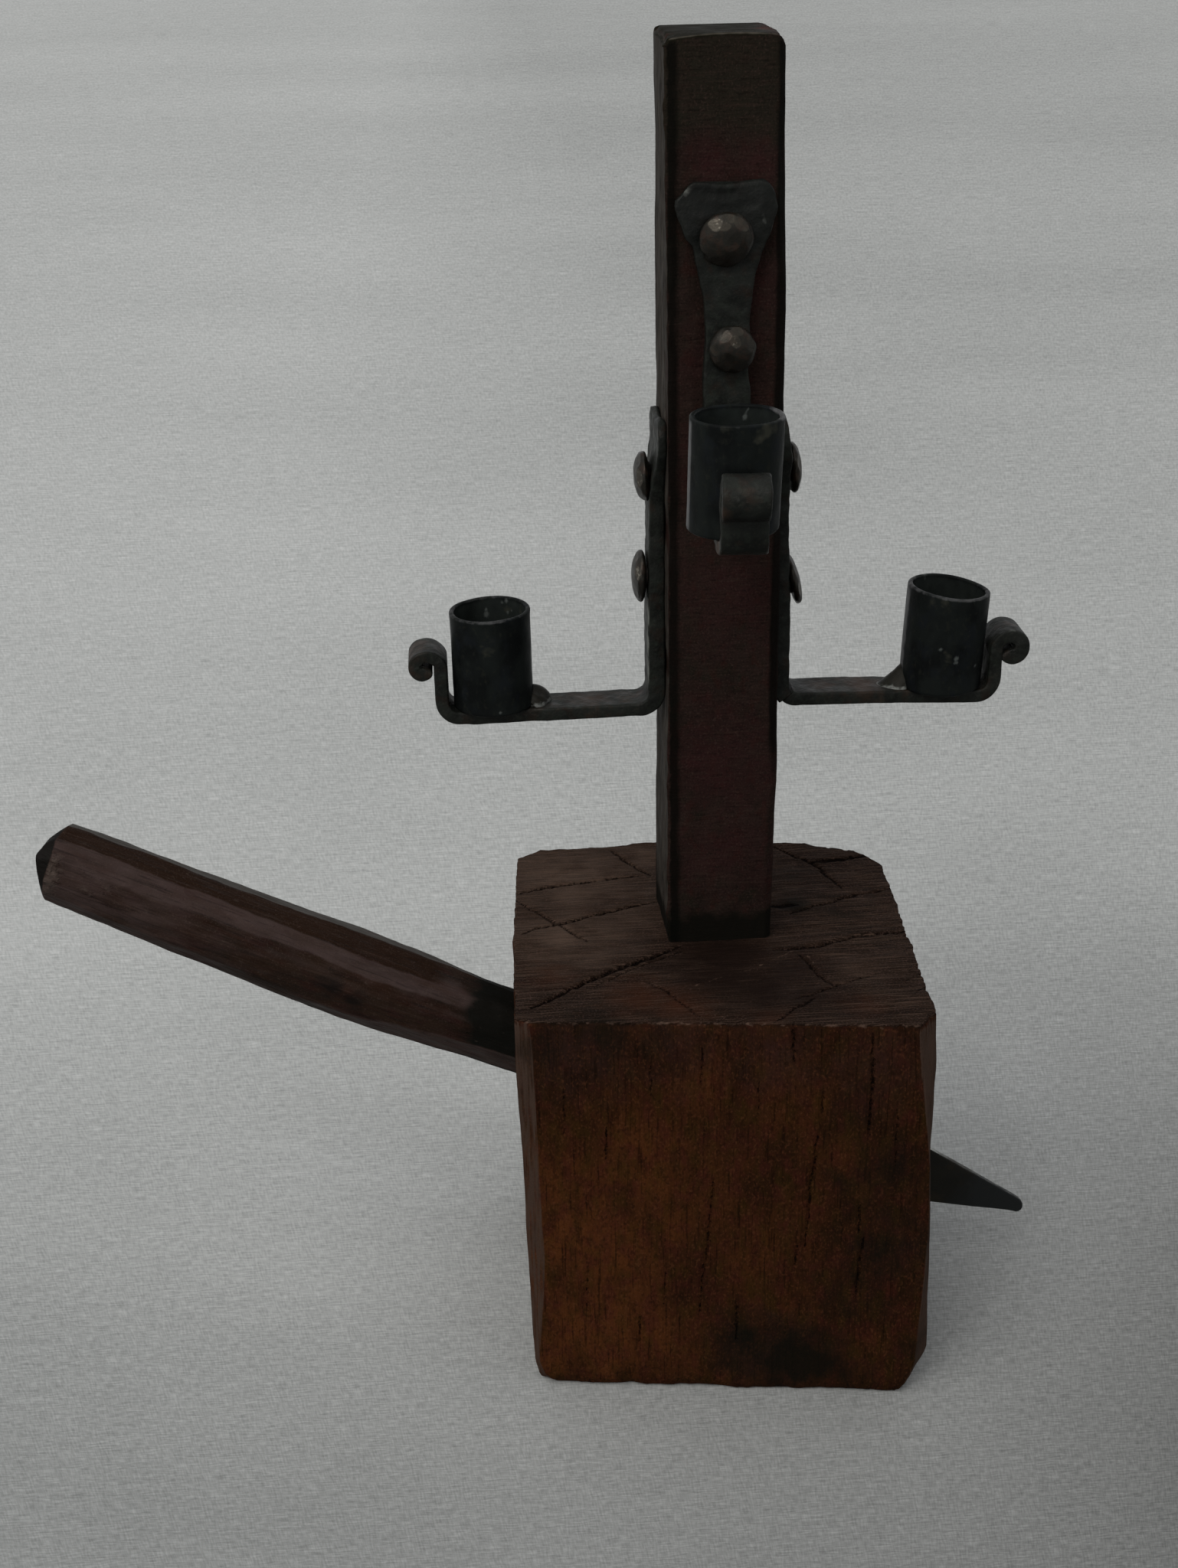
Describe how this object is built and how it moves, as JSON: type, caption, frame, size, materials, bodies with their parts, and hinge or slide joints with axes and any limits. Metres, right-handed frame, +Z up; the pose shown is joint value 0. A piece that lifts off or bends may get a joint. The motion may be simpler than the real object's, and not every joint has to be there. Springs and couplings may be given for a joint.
{
  "type": "candlestick",
  "caption": "Rustic candlestick of hewn wood with forged iron strap arms that carry tube candle cups, and a wooden handle and iron blade through its block.",
  "frame": {"origin": "on the underside of the block, below the post's centre line", "axes": "+Z up along the post; -Y the front arm's side; -X and +X the side arms; the handle leaves the block towards -X"},
  "size_m": [0.3259, 0.1595, 0.42],
  "materials": {
    "block_wood": "oiled, dark stained pine",
    "post_wood": "dark stained, waxed",
    "handle_wood": "dark stained, waxed",
    "strap_iron": "forged, blackened",
    "cup_iron": "blackened tube",
    "weld_metal": "as welded",
    "nail_iron": "hammered",
    "blade_iron": "forged, filed edge"
  },
  "bodies": {
    "root": {"base_block": "block_wood", "post": "post_wood", "front_arm": "strap_iron", "left_arm": "strap_iron", "right_arm": "strap_iron", "front_cup": "cup_iron", "left_cup": "cup_iron", "right_cup": "cup_iron", "front_weld": "weld_metal", "left_weld": "weld_metal", "right_weld": "weld_metal", "front_nail_upper": "nail_iron", "front_nail_lower": "nail_iron", "left_nail_upper": "nail_iron", "left_nail_lower": "nail_iron", "right_nail_upper": "nail_iron", "right_nail_lower": "nail_iron", "side_handle": "handle_wood", "side_blade": "blade_iron"}
  },
  "joints": []
}
